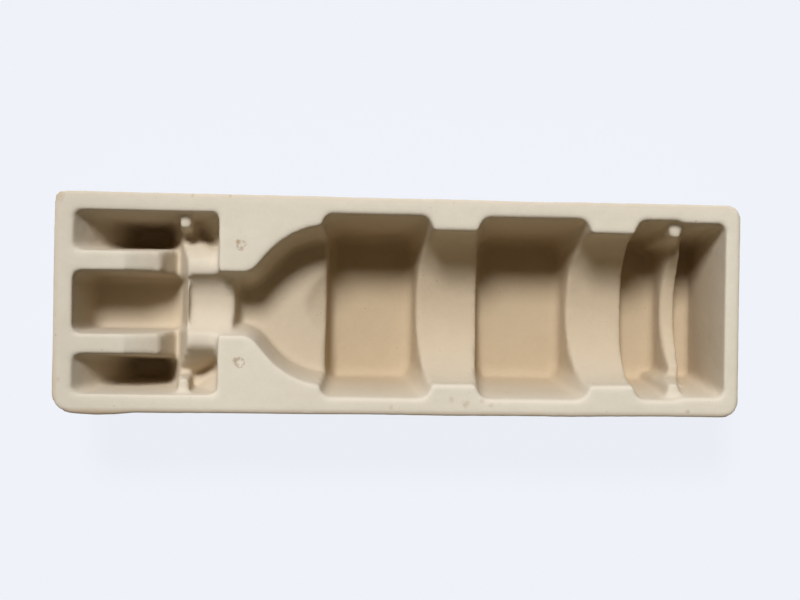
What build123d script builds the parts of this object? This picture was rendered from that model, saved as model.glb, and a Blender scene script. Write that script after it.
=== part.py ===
from build123d import *
from math import atan, cos, degrees, radians, sin, tan
import os

# One half of a moulded-pulp shipper. The tray is a single sheet of pulp, pressed down from a flat
# deck into pockets and a cradle, so its underside follows its top at one thickness. X runs along
# the length with the neck end at -X, Z is up, and the origin is under the middle of the tray.

# The sheet and its rim, in millimetres
wall = 3.0
height = 54.0
corner_radius = 8.0
rim_rounding = 1.4

# The load's own radii and the room left round it
body_radius = 37.4
neck_radius = 14.2
body_room = 0.6
neck_room = 1.4

# What follows what along the length, from the neck end
neck_rim = 9.0
side_pocket_length = 70.3
neck_channel_length = 11.45
bay_length = 52.4
saddle_length = 27.4
end_bay_length = 21.5
base_fin_length = 7.0
end_pocket_length = 16.4
base_rim = 7.7

# What follows what across the width, from the bed to the long edge
bay_clearance = 7.5
bay_rim = 8.5
side_pocket_rim = 9.0
end_rim = 9.8
side_pocket_width = 19.9

# Drafts, in degrees: how far each pressed wall leans
outer_draft = 10.0
bay_draft = 8.0
pocket_draft = 8.0
rib_draft = 5.0
block_draft = 3.0
fin_draft = 15.5
shoulder_draft = 12.0

# Rounding of the hollows
bay_rounding = 5.0
finish_rounding = 4.0
block_rounding = 3.5
fin_corner_rounding = 3.0
pit_rounding = 1.2
end_corner_share = 0.36
side_corner_share = 0.40

# The side pockets' neck end slopes down to a short floor
side_pocket_floor = 15.0

# Ribs, fins and the pocket between the ribs
finish_pocket_depth = 34.0
rib_shoulder_drop = 8.0
rib_shoulder_run = 16.5
valley_depth = 24.0
valley_run = 7.2
valley_floor = 1.6
fin_crest_depth = 5.5
fin_fall_run = 13.5
fin_length = 13.3
fin_rounding = 6.0
nub_depth = 25.0
nub_run = 10.5

# The three-cornered pit between each fin's outer end and its block
pit_step = 2.0
pit_width = 16.0
pit_length = 15.5
pit_depth = 34.0

# The curved edge of each block beside the shoulder
shoulder_clearance = 1.8
shoulder_flare = 9.0
shoulder_slope = 50.0
shoulder_lean = 6.0
shoulder_swell = 2.02
shoulder_lead = 7.0
shoulder_depth = 30.0
cradle_shoulder_angle = 45.0
cradle_flare = 12.0
cradle_lead = 9.0

# Tabs over the saddles narrow inwards by this much on each side
tab_lean = 3.2
block_lean = 1.5

# Small round marks that the mould's pins leave in the blocks
mark_radius = 2.0
mark_depth = 0.6
mark_from_pit = 11.2
mark_from_rim = 25.3

# How far a hollow runs on into its neighbour or above the deck
shoulder_overlap = 13.0
low_end_overlap = 8.0
rib_overlap = 2.0
above_deck = 2.0


def drafted(depth, draft):
    """How far a wall has leant in at a depth below the deck."""
    return depth * tan(radians(draft))


# Half widths that follow from those
bed = body_radius + body_room
neck = neck_radius + neck_room
bay_half_width = bed + bay_clearance
width = 2 * (bay_half_width + bay_rim)
side_pocket_outer = width / 2 - side_pocket_rim
side_pocket_inner = side_pocket_outer - side_pocket_width
end_half_width = width / 2 - end_rim
nub_half_width = side_pocket_outer - nub_run
fin_crest_half_width = nub_half_width - fin_fall_run
fin_reach = nub_half_width + fin_rounding

# The block's S-shaped edge: a flare, a straight stretch and a swell share the rise
slope_turn = radians(shoulder_slope)
lean_turn = radians(shoulder_lean)
shoulder_rise = bed + shoulder_clearance - neck - shoulder_flare * (1 - cos(slope_turn))
swell_radius = shoulder_swell * shoulder_rise
swell_rise = (cos(lean_turn) - cos(slope_turn)) * swell_radius
shoulder_straight = (shoulder_rise - swell_rise) / sin(slope_turn)
shoulder_run = (
    shoulder_flare * sin(slope_turn)
    + shoulder_straight * cos(slope_turn)
    + swell_radius * (sin(slope_turn) - sin(lean_turn))
)

# Stations along the length that follow from those
block_length = neck_channel_length + shoulder_run
length = (neck_rim + side_pocket_length + block_length + 2 * bay_length + 2 * saddle_length
          + end_bay_length + base_fin_length + end_pocket_length + base_rim)
neck_wall_x = neck_rim - length / 2
block_x = neck_wall_x + side_pocket_length
bay_x = block_x + block_length
second_bay_x = bay_x + bay_length + saddle_length
end_bay_x = second_bay_x + bay_length + saddle_length
base_fin_x = end_bay_x + end_bay_length
end_pocket_x = base_fin_x + base_fin_length
base_wall_x = end_pocket_x + end_pocket_length
fin_x = block_x - fin_length
full_depth = height - wall


def hollow(walls, depth, growth):
    """Room between leaning walls. A wall is a point at the deck, a way out and a draft."""
    with BuildPart() as room:
        with Locations((0, 0, height - depth - growth)):
            Box(
                length,
                width,
                depth + growth + above_deck,
                align=(Align.CENTER, Align.CENTER, Align.MIN),
            )
        for point, outward, draft in walls:
            normal = (outward - Vector(0, 0, tan(radians(draft)))).normalized()
            split(bisect_by=Plane(point + normal * growth, z_dir=normal), keep=Keep.BOTTOM)
    return room.part


def rounded(room, rounding, growth):
    """A hollow with its corners and its floor's edge rounded."""
    with BuildPart() as soft:
        add(room)
        mouth = soft.faces().sort_by(Axis.Z)[-1]
        fillet(soft.edges() - mouth.edges(), rounding + growth)
    return soft.part


def pocket(corners, depth, drafts, growth):
    """Hollow under a convex outline at the deck, anticlockwise, with a draft along and one across."""
    along, across = (tan(radians(draft)) for draft in drafts)
    corners = [Vector(x, y, height) for x, y in corners]
    walls = []
    for here, there in zip(corners, corners[1:] + corners[:1]):
        outward = (there - here).normalized().cross(Vector(0, 0, 1))
        lean = abs(outward.X) * along + abs(outward.Y) * across
        walls.append((here, outward, degrees(atan(lean))))
    return hollow(walls, depth, growth)


def side_pocket(growth):
    """Deep pocket beside a rib: its neck end slopes down to a short floor at the fin's foot."""
    floor_x = fin_x - drafted(full_depth, fin_draft) - side_pocket_floor
    slope_draft = degrees(atan((floor_x - neck_wall_x) / full_depth))
    floor_width = side_pocket_width - drafted(full_depth, pocket_draft) - drafted(full_depth, rib_draft)
    east, north = Vector(1, 0, 0), Vector(0, 1, 0)
    walls = [
        (Vector(fin_x, 0, height), east, fin_draft),
        (Vector(0, side_pocket_outer, height), north, pocket_draft),
        (Vector(neck_wall_x, 0, height), -east, slope_draft),
        (Vector(0, side_pocket_inner, height), -north, rib_draft),
    ]
    return rounded(hollow(walls, full_depth, growth), side_corner_share * floor_width, growth)


def bay_corners(start, end, half_width, leans):
    """Corners of a bay at the deck, anticlockwise: its ends lean out from the rim to the bed."""
    side = [(end + leans[1], bed), (end, half_width), (start, half_width), (start - leans[0], bed)]
    return side + [(x, -y) for x, y in reversed(side)]


def rectangle_corners(start, end, half_width):
    """Corners of a rectangle across the middle line, anticlockwise."""
    return [(end, half_width), (start, half_width), (start, -half_width), (end, -half_width)]


def cradle(growth):
    """Round-bottomed bed, turned about the deck's middle line: body, shoulder and neck."""
    flare_radius = cradle_flare - growth
    turn = radians(cradle_shoulder_angle)
    turned_swell = (bed - neck) / (1 - cos(turn)) - flare_radius
    start_x = fin_x - drafted(fin_crest_depth, fin_draft) - growth
    end_x = base_wall_x - drafted(body_radius, bay_draft)
    neck_z = height - neck - growth
    with BuildPart() as turned:
        with BuildSketch(Plane.XZ):
            with BuildLine():
                throat = Line((start_x, height), (start_x, neck_z))
                channel = Line(throat @ 1, (block_x + neck_channel_length + cradle_lead, neck_z))
                flare = JernArc(channel @ 1, (1, 0), flare_radius, -cradle_shoulder_angle)
                swell = JernArc(flare @ 1, flare % 1, turned_swell, cradle_shoulder_angle)
                body = Line(swell @ 1, (end_x, height - bed - growth))
                Polyline(body @ 1, (end_x, height), (start_x, height))
            make_face()
        revolve(axis=Axis((0, 0, height), (1, 0, 0)))
    return turned.part


def shoulder_pocket(growth):
    """Drafted hollow between the blocks: narrow beside the neck, then widening to the first bay."""
    spread = growth + drafted(above_deck, shoulder_draft)
    start_x = block_x + neck_channel_length
    west = start_x - shoulder_lead - spread
    east = bay_x + shoulder_overlap + spread
    with BuildPart() as opening:
        with BuildSketch(Plane((0, 0, height + above_deck), x_dir=(1, 0, 0), z_dir=(0, 0, -1))):
            with BuildLine():
                mouth = Line((west, neck + spread), (start_x, neck + spread))
                flare = JernArc(mouth @ 1, (1, 0), shoulder_flare - spread, shoulder_slope)
                slope = Line(flare @ 1, flare @ 1 + (flare % 1) * shoulder_straight)
                swell = JernArc(slope @ 1, slope % 1, swell_radius + spread, shoulder_lean - shoulder_slope)
                Polyline(swell @ 1, (east, (swell @ 1).Y), (east, 0))
                Line((west, 0), (west, neck + spread))
                mirror(about=Plane.XZ)
            make_face()
        extrude(amount=above_deck + shoulder_depth + growth, taper=shoulder_draft)
    return opening.part


def rib_slope(growth):
    """Opening over the ribs: they fall gently, then steeply, to a valley at the fin's foot."""
    valley_z = height - valley_depth
    fin_at_valley = fin_x - drafted(valley_depth, fin_draft)
    valley_start = fin_at_valley - valley_floor
    knee_x = valley_start - valley_run
    lift = above_deck * rib_shoulder_run / rib_shoulder_drop
    half_width = side_pocket_inner + drafted(valley_depth, rib_draft) + rib_overlap
    with BuildPart() as opening:
        with BuildSketch(Plane.XZ) as profile:
            with BuildLine():
                Polyline(
                    (knee_x - rib_shoulder_run - lift, height + above_deck),
                    (knee_x, height - rib_shoulder_drop),
                    (valley_start, valley_z),
                    (fin_at_valley, valley_z),
                    (fin_x + drafted(above_deck, fin_draft), height + above_deck),
                    close=True,
                )
            make_face()
            if growth:
                offset(amount=growth, kind=Kind.INTERSECTION)
        extrude(amount=half_width, both=True)
    return opening.part


def fin_opening(growth):
    """Opening over the fin that carries the neck: its crest falls in an S to a low outer nub."""
    top = height + above_deck
    crest = height - fin_crest_depth
    nub = height - nub_depth
    with BuildPart() as opening:
        with BuildSketch(Plane.YZ.offset(fin_x - drafted(valley_depth, fin_draft))) as profile:
            with BuildLine():
                fall = FilletPolyline(
                    (0, crest), (fin_crest_half_width, crest), (nub_half_width, nub), (fin_reach, nub),
                    radius=fin_rounding,
                )
                Polyline(fall @ 1, (fin_reach, top), (0, top))
                mirror(about=Plane.YZ)
            make_face()
            if growth:
                offset(amount=growth)
        extrude(amount=fin_length + drafted(valley_depth, fin_draft) + growth)
    return opening.part


def fin_gap(growth):
    """Gap over the nub, beyond the fin's fall: its corner at the block is rounded."""
    start = fin_x - drafted(nub_depth, fin_draft)
    inner = fin_reach - rib_overlap - drafted(nub_depth, pocket_draft)
    corners = [(block_x, side_pocket_outer), (start, side_pocket_outer), (start, inner), (block_x, inner)]
    with BuildPart() as gap:
        add(pocket(corners, nub_depth, (0, pocket_draft), growth))
        fillet(gap.edges().sort_by(Axis.X)[-4:].sort_by(Axis.Y)[-1], fin_corner_rounding + growth)
    return gap.part


def pit(growth):
    """Three-cornered pit against a block, its upright edges rounded."""
    outer = side_pocket_outer - pit_step
    corners = [(block_x, outer - pit_width), (block_x, outer), (block_x - pit_length, outer)]
    with BuildPart() as soft:
        add(pocket(corners, pit_depth, (block_draft, rib_draft), growth))
        ends = soft.faces().sort_by(Axis.Z)
        fillet(soft.edges() - ends[0].edges() - ends[-1].edges(), pit_rounding + growth)
    return soft.part


def pressing(growth):
    """Everything pressed below the deck, grown by the wall where it shapes the underside."""
    fin_lean = drafted(nub_depth, rib_draft)
    fin_start = base_fin_x + fin_lean
    fin_end = end_pocket_x - fin_lean
    end_floor = base_wall_x - fin_end - 2 * drafted(full_depth, rib_draft)
    end_rounding = end_corner_share * end_floor
    finish = rectangle_corners(neck_wall_x, fin_x, neck)
    end_pocket = rectangle_corners(fin_end, base_wall_x, end_half_width)
    low_end = rectangle_corners(end_bay_x + low_end_overlap, fin_end + low_end_overlap, end_half_width)
    first_bay = bay_corners(bay_x, bay_x + bay_length, bay_half_width, (block_lean, tab_lean))
    second_bay = bay_corners(second_bay_x, second_bay_x + bay_length, bay_half_width, (tab_lean, tab_lean))
    end_bay = bay_corners(end_bay_x, fin_start, bay_half_width, (tab_lean, block_lean))
    finish_drafts = (outer_draft, rib_draft)
    bay_drafts = (bay_draft, outer_draft)
    fin_drafts = (rib_draft, outer_draft)
    paired = [
        side_pocket(growth),
        fin_gap(growth),
        pit(growth),
    ]
    single = [
        cradle(growth),
        rib_slope(growth),
        fin_opening(growth),
        shoulder_pocket(growth),
        rounded(pocket(finish, finish_pocket_depth, finish_drafts, growth), finish_rounding, growth),
        rounded(pocket(first_bay, full_depth, bay_drafts, growth), bay_rounding, growth),
        rounded(pocket(second_bay, full_depth, bay_drafts, growth), bay_rounding, growth),
        rounded(pocket(end_bay, full_depth, fin_drafts, growth), bay_rounding, growth),
        rounded(pocket(end_pocket, full_depth, fin_drafts, growth), end_rounding, growth),
        pocket(low_end, nub_depth, fin_drafts, growth),
    ]
    with BuildPart() as hollows:
        add(single + paired)
        mirror(paired, about=Plane.XZ)
    return hollows.part


with BuildPart() as pulp_insert:
    with BuildSketch(Plane.XY.offset(height - wall)):
        RectangleRounded(length, width, corner_radius)
    extrude(amount=wall)
    fillet(pulp_insert.faces().sort_by(Axis.Z)[-1].edges(), rim_rounding)
    add(pressing(wall))
    split(bisect_by=Plane.XY.offset(height), keep=Keep.BOTTOM)
    add(pressing(0), mode=Mode.SUBTRACT)
    with BuildSketch(Plane.XY.offset(height)):
        with GridLocations(0, width - 2 * mark_from_rim, 1, 2):
            with Locations((block_x + mark_from_pit, 0)):
                Circle(mark_radius)
    extrude(amount=-mark_depth, mode=Mode.SUBTRACT)
    with BuildSketch(Plane.XY.offset(height)):
        with Locations((block_x, neck)):
            Rectangle(block_rounding, block_rounding, align=(Align.MIN, Align.MIN))
        with Locations((block_x + block_rounding, neck + block_rounding)):
            Circle(block_rounding, mode=Mode.SUBTRACT)
        mirror(about=Plane.XZ)
    extrude(amount=-fin_crest_depth, mode=Mode.SUBTRACT)

pulp_insert.part.label = "pulp_insert"
os.makedirs("parts", exist_ok=True)
export_step(pulp_insert.part, "parts/pulp_insert.step")
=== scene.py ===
# %% [markdown]
# # A moulded-pulp shipper insert
#
# The real object is one thick sheet of paper pulp. A wire mould is dipped in wet pulp, the water is sucked
# out through it, and the soft sheet that is left is dried. Nothing on it is sharp: every edge is round,
# every wall leans, and the surface is matt and full of short fibres.
#
# The CAD solid already has the pockets, ribs and walls. This lesson turns it into pulp in three steps: it
# rounds the edges, gives the sheet the small waves of something that dried by itself, and mixes a material
# with the fibres, flecks and stains of recycled paper.

# %% Load the frame
import math

import bmesh
import bpy
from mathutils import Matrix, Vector, noise


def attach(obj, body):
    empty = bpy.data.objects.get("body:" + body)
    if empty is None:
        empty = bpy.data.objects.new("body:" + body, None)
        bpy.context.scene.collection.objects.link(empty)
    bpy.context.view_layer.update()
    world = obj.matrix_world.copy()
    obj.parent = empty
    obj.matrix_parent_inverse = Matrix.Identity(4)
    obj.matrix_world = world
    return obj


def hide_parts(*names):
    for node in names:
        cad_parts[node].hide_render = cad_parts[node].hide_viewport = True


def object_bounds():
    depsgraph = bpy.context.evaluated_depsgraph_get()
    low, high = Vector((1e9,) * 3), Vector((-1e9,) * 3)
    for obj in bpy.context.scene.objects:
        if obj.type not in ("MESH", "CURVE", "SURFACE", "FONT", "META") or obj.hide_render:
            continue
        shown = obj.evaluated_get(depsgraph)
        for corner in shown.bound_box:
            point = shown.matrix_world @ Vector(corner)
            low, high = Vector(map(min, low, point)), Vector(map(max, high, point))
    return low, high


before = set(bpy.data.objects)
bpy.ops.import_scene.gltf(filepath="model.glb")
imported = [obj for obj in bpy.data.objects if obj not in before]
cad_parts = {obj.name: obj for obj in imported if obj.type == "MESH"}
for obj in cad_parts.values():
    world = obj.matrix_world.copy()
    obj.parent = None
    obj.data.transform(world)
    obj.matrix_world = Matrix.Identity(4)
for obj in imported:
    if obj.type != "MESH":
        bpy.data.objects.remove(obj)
cad_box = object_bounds()
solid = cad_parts["pulp_insert"]
deck_z = cad_box[1][2]
print("CAD box in mm:", [[round(1000 * v, 1) for v in corner] for corner in cad_box])

# %% [markdown]
# ## The camera
#
# The photograph looks straight down at the tray from about 65 cm, a little off its middle. Four corners of
# the deck were found in the picture, and the camera's place and turn were worked out so that they fall
# there. The lens follows from the distance: farther away with a longer lens gives the same size with less
# perspective.

# %% Set the camera
PHOTO_WIDTH = 800
FOCAL_PIXELS = 1332.5
MM = 0.001

lens = bpy.data.cameras.new("camera")
lens.sensor_width = 36
lens.lens = FOCAL_PIXELS * lens.sensor_width / PHOTO_WIDTH
camera = bpy.data.objects.new("camera", lens)
camera.location = Vector((-64.2, -4.6, 712.1)) * MM
camera.rotation_euler = [math.radians(a) for a in (0.6, -5.37, 0.86)]
bpy.context.scene.collection.objects.link(camera)
bpy.context.scene.camera = camera
print("lens in mm:", round(lens.lens, 1))

# %% [markdown]
# ## Round the edges
#
# A moulded sheet has no sharp edge, because wet fibres bridge every corner. Bevels on each edge would have
# to meet in hundreds of places. A voxel remesh does the whole tray at once: it lays a fine grid of even
# squares over the solid, and a few smoothing passes then round what is sharp by about a millimetre and
# leave flat walls flat. The grid has to be finer than half the wall, or the sheet would break up.
#
# The grid also joins whatever overlaps. In the picture a slanting fold fills the outer corner between each
# fin and its block, and both fins end in a raised stub that catches the light even under the shaded far
# wall, so they reach nearly up to the deck. A wedge and two tapered stubs, the one at the base with a
# buttress in the bay, go in on each side first, and the remesh fuses them to the sheet.

# %% Copy, merge and remesh the solid
VOXEL = 1.45 * MM
SMOOTHING_PASSES = 5
SMOOTHING = 0.5
MERGE_DISTANCE = 0.001 * MM
# The added blocks: x, y, z in mm, for the +Y side
GUSSET = (
    (-106.5, 42.3, 26.0), (-90.5, 30.5, 27.0), (-90.5, 46.3, 53.0),
    (-105.5, 41.5, 26.8), (-92.0, 30.5, 26.8), (-92.0, 41.5, 26.8),
)
FIN_END = (
    (-111.5, 36.8, 48.5), (-106.0, 36.8, 48.5), (-106.0, 44.8, 48.5), (-111.5, 44.8, 48.5),
    (-112.0, 35.0, 27.5), (-105.5, 35.0, 27.5), (-105.5, 41.0, 27.5), (-112.0, 41.0, 27.5),
)
BASE_FIN_END = (
    (136.6, 37.6, 48.5), (140.8, 37.6, 48.5), (143.0, 45.0, 48.5), (134.6, 45.5, 48.5),
    (140.0, 33.5, 27.5), (146.0, 33.5, 27.5), (146.0, 41.0, 27.5), (140.0, 41.0, 27.5),
)
BASE_BUTTRESS = (
    (136.6, 37.6, 48.5), (140.8, 37.6, 48.5), (140.8, 45.0, 48.5), (134.6, 45.5, 48.5),
    (141.8, 33.5, 27.5), (141.8, 41.0, 27.5),
    (133.6, 33.0, 2.5), (139.0, 33.0, 2.5), (139.0, 36.5, 3.5), (133.6, 36.5, 3.5),
)


def finished_mesh(piece):
    """The mesh of a piece with its modifiers worked in."""
    graph = bpy.context.evaluated_depsgraph_get()
    return bpy.data.meshes.new_from_object(piece.evaluated_get(graph))


rough = bmesh.new()
rough.from_mesh(solid.data)
bmesh.ops.remove_doubles(rough, verts=rough.verts, dist=MERGE_DISTANCE)
for side in (1, -1):
    for block in (GUSSET, FIN_END, BASE_FIN_END, BASE_BUTTRESS):
        corners = [rough.verts.new(Vector((x, side * y, z)) * MM) for x, y, z in block]
        bmesh.ops.convex_hull(rough, input=corners)
tray_mesh = bpy.data.meshes.new("tray")
rough.to_mesh(tray_mesh)
rough.free()

tray = bpy.data.objects.new("tray", tray_mesh)
bpy.context.scene.collection.objects.link(tray)
remesh = tray.modifiers.new("remesh", "REMESH")
remesh.mode = "VOXEL"
remesh.voxel_size = VOXEL
smooth = tray.modifiers.new("smooth", "SMOOTH")
smooth.factor = SMOOTHING
smooth.iterations = SMOOTHING_PASSES
rounded = finished_mesh(tray)
tray.modifiers.clear()
tray.data = rounded
print("tray faces:", len(rounded.polygons))

# %% [markdown]
# ## Press the grooves
#
# Beside each fold the sheet dives into a narrow groove that runs slantwise from the stub to the block. Every
# point near the groove's line sinks, on both sides of the sheet at once, so the sheet keeps its thickness.
# The push fades out farther down, where the outer wall stands. Steep walls stretch when they are pushed, so
# a few smoothing passes even them out again.

# %% Sink a groove on each side
# x and the distance from the middle line, in mm
GROOVE = (Vector((-102.6, 35.6)) * MM, Vector((-94.4, 29.0)) * MM)
GROOVE_HALF_WIDTH = 3.0 * MM
GROOVE_DEPTH = 7.5 * MM
GROOVE_TOP, GROOVE_FOOT, GROOVE_FADE = 47 * MM, 16 * MM, 12 * MM
GROOVE_PROFILE = 1.5
GROOVE_SMOOTHED = 1.5

dug = bmesh.new()
dug.from_mesh(tray.data)
along = GROOVE[1] - GROOVE[0]
near_groove = []
for point in dug.verts:
    if point.co.z >= GROOVE_TOP:
        continue
    spot = Vector((point.co.x, abs(point.co.y)))
    share = max(0, min(1, (spot - GROOVE[0]).dot(along) / along.length_squared))
    away = (spot - GROOVE[0] - along * share).length / GROOVE_HALF_WIDTH
    if away < GROOVE_SMOOTHED:
        near_groove.append(point)
    if away < 1:
        hold = max(0, min(1, (point.co.z - GROOVE_FOOT) / GROOVE_FADE))
        point.co.z -= GROOVE_DEPTH * hold * (1 - away * away) ** GROOVE_PROFILE
for _ in range(SMOOTHING_PASSES):
    bmesh.ops.smooth_vert(
        dug, verts=near_groove, factor=SMOOTHING, use_axis_x=True, use_axis_y=True, use_axis_z=True)
print("points near the grooves:", len(near_groove))
dug.to_mesh(tray.data)
dug.free()

# %% [markdown]
# ## Let it dry
#
# Drying pulp shrinks unevenly. The rim of such a tray waves a little, its flat parts are never quite flat,
# and small lumps of fibre stand up all over it. Perlin noise gives such waves: a slow one bends the whole
# sheet, and a quick, shallow one makes the lumps. Both are read at each point's own place. The vector noise
# also starts from a random offset, which is seeded here, so the result is the same on every run. Nothing
# sinks below the floor that the tray stands on.

# %% Wave and lump the sheet
WAVE_HEIGHT, WAVE_LENGTH = 0.45 * MM, 48 * MM
LUMP_HEIGHT, LUMP_LENGTH = 0.10 * MM, 5 * MM
CALMER_BELOW = 0.5
WAVE_SEED = 4

noise.seed_set(WAVE_SEED)
sheet = bmesh.new()
sheet.from_mesh(tray.data)
sheet.normal_update()
furthest = 0.0
for point in sheet.verts:
    normal = point.normal.copy()
    place = point.co.copy()
    below_deck = (deck_z - place.z) / deck_z
    point.co += noise.noise_vector(place / WAVE_LENGTH) * WAVE_HEIGHT * (1 - CALMER_BELOW * below_deck)
    point.co += normal * noise.noise(place / LUMP_LENGTH) * LUMP_HEIGHT
    point.co.z = max(point.co.z, cad_box[0][2])
    furthest = max(furthest, (point.co - place).length)
print("the furthest point moved, in mm:", round(furthest / MM, 2))
sheet.to_mesh(tray.data)
sheet.free()
for face in tray.data.polygons:
    face.use_smooth = True

# %% [markdown]
# ## Four different corners
#
# The trimmed sheet isn't a neat rectangle. In the picture one corner of the deck is tight, one is a wide
# curve, and the other two lie between. The CAD gives all four the same radius. Seen from a centre 12 mm in
# from each corner, a point near the edge moves out or in by the ratio of the two curves. The near edge also
# swells a little beside the widest corner, for about 40 mm.

# %% Find the deck's edge from a corner's centre
REACH = 12.0 * MM
CAD_CORNER = 8.0 * MM
CORNERS = {(-1, 1): 4.5 * MM, (1, 1): 7.0 * MM, (1, -1): 8.5 * MM, (-1, -1): 9.5 * MM}
STILL_INSIDE, FADE_BAND = 0.55, 0.35
SWELL, SWELL_MIDDLE, SWELL_REACH, SWELL_DEPTH = 1.3 * MM, -149.0 * MM, 21.0 * MM, 5.0 * MM


def edge_reach(angle, radius):
    """How far the deck's edge is from the centre in this direction, for one corner radius."""
    high, low = max(math.cos(angle), math.sin(angle)), min(math.cos(angle), math.sin(angle))
    inner = REACH - radius
    if REACH * low / high <= inner:
        return REACH / high
    middle = inner * (high + low)
    return middle + math.sqrt(middle * middle - 2 * inner * inner + radius * radius)


# %% Sharpen and blunt the corners
rim = bmesh.new()
rim.from_mesh(tray.data)
half_length, half_width = cad_box[1][0], cad_box[1][1]
for point in rim.verts:
    sides = tuple(1 if value > 0 else -1 for value in point.co.xy)
    out = Vector((sides[0] * point.co.x - half_length + REACH, sides[1] * point.co.y - half_width + REACH))
    if min(out) > 0:
        angle = math.atan2(out.y, out.x)
        cad_reach = edge_reach(angle, CAD_CORNER)
        share = max(0, min(1, (out.length / cad_reach - STILL_INSIDE) / FADE_BAND))
        grow = (edge_reach(angle, CORNERS[sides]) / cad_reach - 1) * share
        point.co.x += sides[0] * out.x * grow
        point.co.y += sides[1] * out.y * grow
    from_swell = (point.co.x - SWELL_MIDDLE) / SWELL_REACH
    near_edge = (SWELL_DEPTH - half_width - point.co.y) / SWELL_DEPTH
    if abs(from_swell) < 1 and near_edge > 0:
        point.co.y -= SWELL * (1 - from_swell * from_swell) ** 2 * min(1, near_edge)
print("corner radii in mm:", {sides: round(radius / MM, 1) for sides, radius in CORNERS.items()})
rim.to_mesh(tray.data)
rim.free()

# %% [markdown]
# ## A way to write shader maths
#
# A node tree is a formula drawn as boxes. This small class holds one output socket and lets it be added and
# multiplied in plain Python, so that a mask reads as a line of arithmetic. Every other node is made by its
# one method, `node`.

# %% Wrap a socket


class Signal:
    """One output of a shader node, which can be used like a number."""

    def __init__(self, tree, output=None):
        self.tree = tree
        self.output = output

    def node(self, kind, out=0, settings=None, **values):
        """Adds a node: its settings first, then a value or a link for each socket, by name or by number."""
        made = self.tree.nodes.new("ShaderNode" + kind)
        for name, setting in (settings or {}).items():
            setattr(made, name, setting)
        for name, value in values.items():
            socket = made.inputs[int(name[1:]) if name[1:].isdigit() else name.replace("_", " ")]
            if isinstance(value, Signal):
                self.tree.links.new(value.output, socket)
            else:
                socket.default_value = value
        return Signal(self.tree, made.outputs[out])

    def maths(self, operation, first, second=0.0):
        return self.node("Math", settings={"operation": operation}, _0=first, _1=second)

    def __add__(self, other):
        return self.maths("ADD", self, other)

    def __sub__(self, other):
        return self.maths("SUBTRACT", self, other)

    def __rsub__(self, other):
        return self.maths("SUBTRACT", other, self)

    def __mul__(self, other):
        return self.maths("MULTIPLY", self, other)

    def __lt__(self, other):
        return self.maths("LESS_THAN", self, other)

    __radd__ = __add__
    __rmul__ = __mul__

    def mix(self, first, second, blend="MIX"):
        """A colour that goes from the first to the second as this signal goes from 0 to 1."""
        settings = {"data_type": "RGBA", "blend_type": blend}
        return self.node("Mix", out=2, settings=settings, Factor=self, _6=first, _7=second)

    def noise(self, size, detail=3.0, roughness=0.5, distortion=0.0):
        """Noise from 0 to 1 at this place, with lumps of about the given size in metres."""
        return self.node("TexNoise", Vector=self, Scale=1 / size, Detail=detail, Roughness=roughness,
                         Distortion=distortion)

    def between(self, low, high):
        """This signal stretched so that low gives 0 and high gives 1, and cut off there."""
        return self.node("MapRange", Value=self, From_Min=low, From_Max=high)


# %% [markdown]
# ## The pulp
#
# The pulp is recycled paper and board, so it is a warm grey-beige that drifts a little from place to place,
# with paler fibres on top, small darker flecks, and a few stains where a knot of other paper dried in. Four
# layers of noise, from 45 mm down to about one, mix the paleness. The flecks are the middles of small cells,
# and a fifth noise says how large they grow, which is nothing at all in many places.
#
# Painted shade browns the pockets: one mask goes from 0 on the deck to 1 on the pocket floors, on the side
# that faces up, and darkens the colour by that much. A weaker painted shade darkens and greys the neck end.
# The side that faces down was never pressed smooth, so its relief is stronger.

# %% Mix the pulp
PALE = (0.735, 0.664, 0.545, 1)
MIDDLE = (0.655, 0.582, 0.466, 1)
# The tan of the stains, also used for the painted shade on the rim and at the far neck corner
TAN_STAIN_AND_SHADE = (0.47, 0.36, 0.235, 1)
BROWN = (0.30, 0.205, 0.12, 1)
# Painted shade: the brown that the pocket floors are multiplied by
POCKET_SHADE_COLOUR = (0.60, 0.47, 0.31, 1)
# Painted shade: the grey that darkens the neck end
NECK_END_SHADE_COLOUR = (0.62, 0.60, 0.60, 1)
DRIFT, PATCH, GRAIN, FIBRE = 45 * MM, 13 * MM, 2.2 * MM, 1.1 * MM
DRIFT_SHARE, PATCH_SHARE, GRAIN_SHARE, FIBRE_SHARE = 0.35, 0.20, 0.25, 0.20
USUAL_NOISE = (0.3, 0.7)
FLECK_SPACING, FLECK_CLUSTER, FLECK_LARGEST, FLECK_STRENGTH = 4.2 * MM, 6 * MM, 0.13, 0.4
FLECKED_NOISE = (0.48, 0.75)

pulp = bpy.data.materials.new("pulp")
pulp.use_nodes = True
start = Signal(pulp.node_tree)
shader = pulp.node_tree.nodes["Principled BSDF"]
place = start.node("TexCoord", out="Object")
parts = [place.node("SeparateXYZ", out=axis, Vector=place) for axis in range(3)]

drift = place.noise(DRIFT, detail=2.0)
patches = place.noise(PATCH, detail=3.0)
grain = place.noise(GRAIN, detail=4.0, roughness=0.6)
fibres = place.noise(FIBRE, detail=3.0, roughness=0.65, distortion=2.4)
fleck_cells = place.node("TexVoronoi", Vector=place, Scale=1 / FLECK_SPACING)
fleck_size = place.noise(FLECK_CLUSTER, detail=1.0)
flecks = fleck_cells < fleck_size.between(*FLECKED_NOISE) * FLECK_LARGEST

paleness = (drift.between(*USUAL_NOISE) * DRIFT_SHARE + patches.between(*USUAL_NOISE) * PATCH_SHARE
            + grain.between(*USUAL_NOISE) * GRAIN_SHARE + fibres.between(*USUAL_NOISE) * FIBRE_SHARE)
colour = paleness.mix(MIDDLE, PALE)
colour = (flecks * FLECK_STRENGTH).mix(colour, BROWN)

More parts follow.
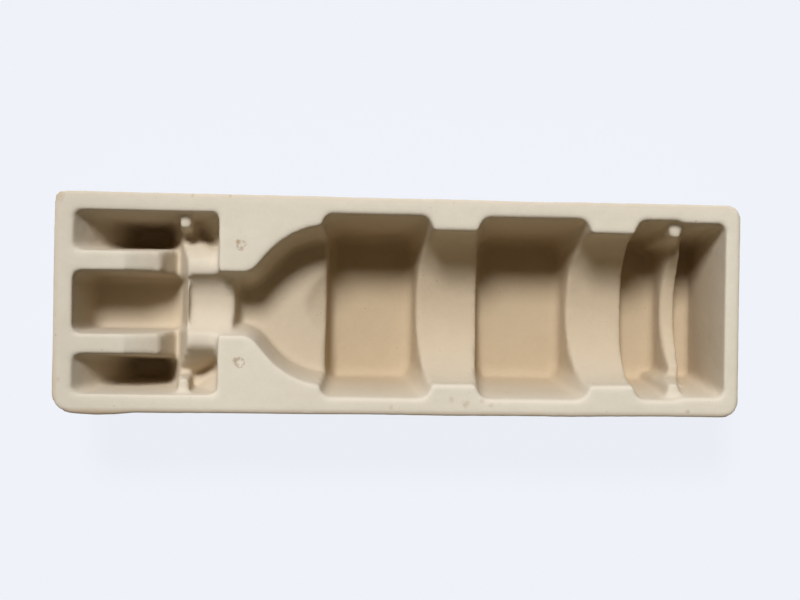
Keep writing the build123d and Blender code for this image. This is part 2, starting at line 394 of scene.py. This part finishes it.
# %% Paint shade into the pockets and the neck end
POCKET_SHADE_STRENGTH, POCKET_SHADE_CURVE, NECK_END_SHADE_STRENGTH = 0.75, 0.65, 0.30
POCKET_SHADE_START, POCKET_SHADE_FULL = deck_z - 2 * MM, 4 * MM
NECK_END_SHADE_START, NECK_END_SHADE_FULL = -100 * MM, -190 * MM
FACING_DOWN, FACING_UP = -0.05, 0.04

facing = start.node("TexCoord", out="Normal")
upward = facing.node("SeparateXYZ", out=2, Vector=facing).between(FACING_DOWN, FACING_UP)
# Painted shade: the deeper a point that faces up lies below the deck, the darker and browner it is painted
pocket_shade = parts[2].between(POCKET_SHADE_START, POCKET_SHADE_FULL)
pocket_shade = pocket_shade.maths("POWER", pocket_shade, POCKET_SHADE_CURVE) * upward
colour = (pocket_shade * POCKET_SHADE_STRENGTH).mix(colour, POCKET_SHADE_COLOUR, blend="MULTIPLY")
# Painted shade: darker and greyer towards the neck end
neck_end_shade = parts[0].between(NECK_END_SHADE_START, NECK_END_SHADE_FULL) * NECK_END_SHADE_STRENGTH
colour = neck_end_shade.mix(colour, NECK_END_SHADE_COLOUR, blend="MULTIPLY")
print("nodes in the plain pulp:", len(pulp.node_tree.nodes))

# %% [markdown]
# ## Rim, marks and stains
#
# The rim's last few millimetres are tanned with painted shade: all round, against the bright rounded edge,
# and most of all on the near long side, where the edge turns away from the sun. Each block has a small ring
# where a pin pushed the wet tray off its mould. The stains sit where the photograph shows them, and noise
# frays every edge, because a stain in paper is never round. The wide spot at the far neck corner is painted
# shade of that corner's edge, drawn like a stain.

# %% Add the stains and the painted shade at the far neck corner
STAINS_AND_CORNER_SHADE = (
    # x, y, radius in mm, strength
    (-6.0, -50.0, 1.6, 0.45), (24.0, -46.0, 1.7, 0.40), (31.0, -48.0, 2.4, 0.6), (39.5, -46.5, 1.6, 0.35),
    # The wide spot at (-169.5, 52.5) is painted shade of the far neck corner's edge; the others are stains
    (44.0, -48.6, 1.5, 0.35), (144.6, -51.0, 1.3, 0.7), (-168.0, -38.0, 1.6, 0.4), (-169.5, 52.5, 4.5, 0.8),
    (-105.0, 53.2, 1.3, 0.7), (-87.0, 53.2, 1.2, 0.7),
    # the blots in the pin marks
    (-82.8, 30.6, 1.5, 1.2), (-80.9, 27.6, 1.3, 1.1), (-83.1, -27.5, 1.6, 1.2), (-81.8, -29.6, 1.0, 0.7),
)
FRAY = 1.6 * MM
# In radii: how far the noise frays a spot's edge, and where the spot is at its full strength
SPOT_FRAY, SPOT_CORE = 1.6, 0.3

fray = place.noise(FRAY, detail=3.0)
stain_and_shade = 0.0
for x, y, radius, strength in STAINS_AND_CORNER_SHADE:
    centre = Vector((x, y, deck_z / MM)) * MM
    away = place.node("VectorMath", out="Value", settings={"operation": "DISTANCE"}, _0=place, _1=centre)
    frayed = away + (fray - 0.5) * (SPOT_FRAY * radius * MM)
    stain_and_shade = stain_and_shade + frayed.between(radius * MM, SPOT_CORE * radius * MM) * strength

# %% Paint shade on the rim
RIM = 3.0 * MM
# Painted shade on the rim: all round, stronger on the near long side and at its neck corner
RIM_SHADE_ALL_ROUND, NEAR_SIDE_SHADE, NECK_CORNER_SHADE = 0.40, 0.35, 0.25
NEAR_SIDE_START, NEAR_SIDE_FULL = -20 * MM, -50 * MM
NECK_CORNER_START, NECK_CORNER_FULL = -110 * MM, -140 * MM
RIM_SHADE_PATCHES = (0.15, 0.5)

from_middle = [parts[axis].maths("ABSOLUTE", parts[axis]) for axis in range(2)]
to_ends = from_middle[0] - (half_length - RIM)
to_sides = from_middle[1] - (half_width - RIM)
rim_shade = to_ends.maths("MAXIMUM", to_ends, to_sides).between(0.0, RIM)
near_side_shade = parts[1].between(NEAR_SIDE_START, NEAR_SIDE_FULL)
neck_corner_shade = parts[0].between(NECK_CORNER_START, NECK_CORNER_FULL)
rim_shade_here = near_side_shade * (neck_corner_shade * NECK_CORNER_SHADE + NEAR_SIDE_SHADE) + RIM_SHADE_ALL_ROUND
rim_shade = rim_shade * rim_shade_here * patches.between(*RIM_SHADE_PATCHES)

# %% Draw the pin marks
MARKS = (-81.0 * MM, 28.7 * MM)
MARK_RADIUS = 2.0 * MM
MARK_FRAY, MARK_EDGE, MARK_CORE = 1.2 * MM, 1.1 * MM, 0.4 * MM
MARK_GAPS = (0.44, 0.56)
MARK_LOWEST, MARK_FULL = deck_z - 4 * MM, deck_z - 2 * MM

mark_x = parts[0] - MARKS[0]
mark_y = from_middle[1] - MARKS[1]
from_mark = mark_x.maths("SQRT", mark_x * mark_x + mark_y * mark_y)
ring = from_mark.maths("ABSOLUTE", from_mark - MARK_RADIUS) + (fray - 0.5) * MARK_FRAY
on_deck = parts[2].between(MARK_LOWEST, MARK_FULL)
ring = ring.between(MARK_EDGE, MARK_CORE) * fray.between(*MARK_GAPS) * on_deck

# %% Put the colours and the relief on the tray
RING_STRENGTH, STAIN_AND_SHADE_STRENGTH = 0.5, 0.8
RELIEF_HEIGHT, RELIEF_STRENGTH = 0.35 * MM, 0.6
FIBRE_RELIEF, GRAIN_RELIEF, UNDERSIDE_RELIEF = 0.6, 0.4, 2.2
LEAST_ROUGH, ROUGHER = 0.9, 0.1

# Painted shade on the rim
colour = rim_shade.mix(colour, TAN_STAIN_AND_SHADE)
colour = (ring * RING_STRENGTH).mix(colour, BROWN)
# Stains, and painted shade at the far neck corner
colour = (stain_and_shade * STAIN_AND_SHADE_STRENGTH).mix(colour, TAN_STAIN_AND_SHADE)

# Where the sheet faces down, the same relief stands UNDERSIDE_RELIEF times as high
relief = (fibres * FIBRE_RELIEF + grain * GRAIN_RELIEF) * (UNDERSIDE_RELIEF - upward * (UNDERSIDE_RELIEF - 1))
bump = start.node("Bump", Height=relief, Distance=RELIEF_HEIGHT, Strength=RELIEF_STRENGTH)
links = pulp.node_tree.links
links.new(colour.output, shader.inputs["Base Color"])
links.new(bump.output, shader.inputs["Normal"])
links.new((LEAST_ROUGH + grain * ROUGHER).output, shader.inputs["Roughness"])
tray.data.materials.clear()
tray.data.materials.append(pulp)
solid.data.materials.clear()
solid.data.materials.append(pulp)
print("pulp nodes:", len(pulp.node_tree.nodes))

# %% [markdown]
# ## Stand it in the frame
#
# The soft tray takes the place of the CAD solid, which stays in the model for collisions but isn't shown.

# %% Put the tray on its body
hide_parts("pulp_insert")
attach(tray, "root")

# %% [markdown]
# ## Floor, sky and light
#
# The shadow of the far rim on each sloping pocket end gives the light's direction away: it comes from the
# far long side and a little from the neck end, about 54 degrees up. One wide sun stands there. The world
# adds a weak, warm fill, so the shade in the pockets turns brown, and the sun gives up what the fill adds,
# which keeps the deck's own colour. The floor and the world show the picture's pale, cold background to the
# camera alone.

# %% Light the scene
BACKGROUND = (0.863, 0.888, 0.947, 1)
TOWARDS_SUN = Vector((-0.20, 0.55, 0.81)).normalized()
FILL = Vector((0.085, 0.066, 0.036))
SUN_WIDTH = math.radians(16)

world = bpy.data.worlds.new("room")
bpy.context.scene.world = world
world.use_nodes = True
sky = Signal(world.node_tree)
background = world.node_tree.nodes["Background"]
seen = sky.node("LightPath", out="Is Camera Ray")
room = seen.mix((*FILL, 1), BACKGROUND)
world.node_tree.links.new(room.output, background.inputs["Color"])

sun = bpy.data.lights.new("sun", "SUN")
sun.color = Vector((1, 1, 1)) - FILL
sun.energy = math.pi / TOWARDS_SUN.z
sun.angle = SUN_WIDTH
lamp = bpy.data.objects.new("sun", sun)
lamp.rotation_euler = TOWARDS_SUN.to_track_quat("Z", "Y").to_euler()
bpy.context.scene.collection.objects.link(lamp)
print("sun's height in degrees:", round(math.degrees(math.asin(TOWARDS_SUN.z)), 1))

# %% Lay the floor
FLOOR_HALF_SIZE = 4.0
FLOOR_GLOW = 0.95

floor_mesh = bpy.data.meshes.new("floor")
ground = bmesh.new()
bmesh.ops.create_grid(ground, x_segments=1, y_segments=1, size=FLOOR_HALF_SIZE)
ground.to_mesh(floor_mesh)
ground.free()
floor = bpy.data.objects.new("floor", floor_mesh)
bpy.context.scene.collection.objects.link(floor)
paint = bpy.data.materials.new("floor")
paint.use_nodes = True
painter = Signal(paint.node_tree)
seen = painter.node("LightPath", out="Is Camera Ray")
matt = painter.node("BsdfDiffuse", Color=BACKGROUND)
glow = painter.node("Emission", Color=BACKGROUND, Strength=1.0)
blend = painter.node("MixShader", Fac=seen * FLOOR_GLOW, _1=matt, _2=glow)
paint.node_tree.links.new(blend.output, paint.node_tree.nodes["Material Output"].inputs["Surface"])
floor.data.materials.append(paint)

bpy.context.scene.view_settings.view_transform = "Standard"
